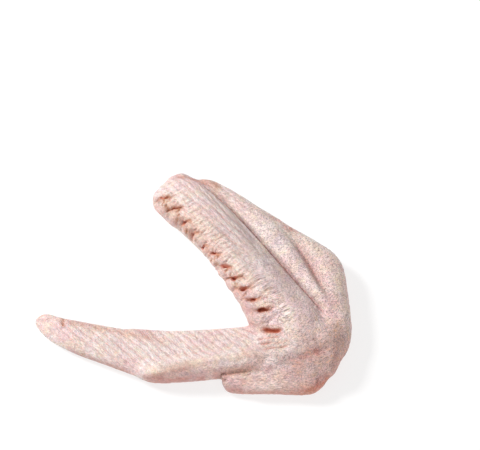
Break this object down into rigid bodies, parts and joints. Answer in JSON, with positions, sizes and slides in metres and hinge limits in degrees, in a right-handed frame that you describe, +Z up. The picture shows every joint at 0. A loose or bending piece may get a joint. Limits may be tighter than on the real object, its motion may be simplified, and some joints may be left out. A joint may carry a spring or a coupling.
{
  "type": "raw duck wing",
  "caption": "Plucked raw poultry wing of two joints, forearm and hand folded at the wrist, with a row of feather sockets along the forearm's trailing edge and a short thumb beside the hand.",
  "frame": {"origin": "middle of the footprint, on the surface that the wing lies on", "axes": "+Z up out of the surface, with the side of the wing that the picture shows on top. The hand points along -X, and the forearm runs from the wrist at +X, -Y towards its elbow end at +Y"},
  "size_m": [0.122, 0.0898, 0.0215],
  "materials": {
    "raw_skin": "moist satin"
  },
  "bodies": {
    "root": {"duck_wing": "raw_skin"}
  },
  "joints": []
}
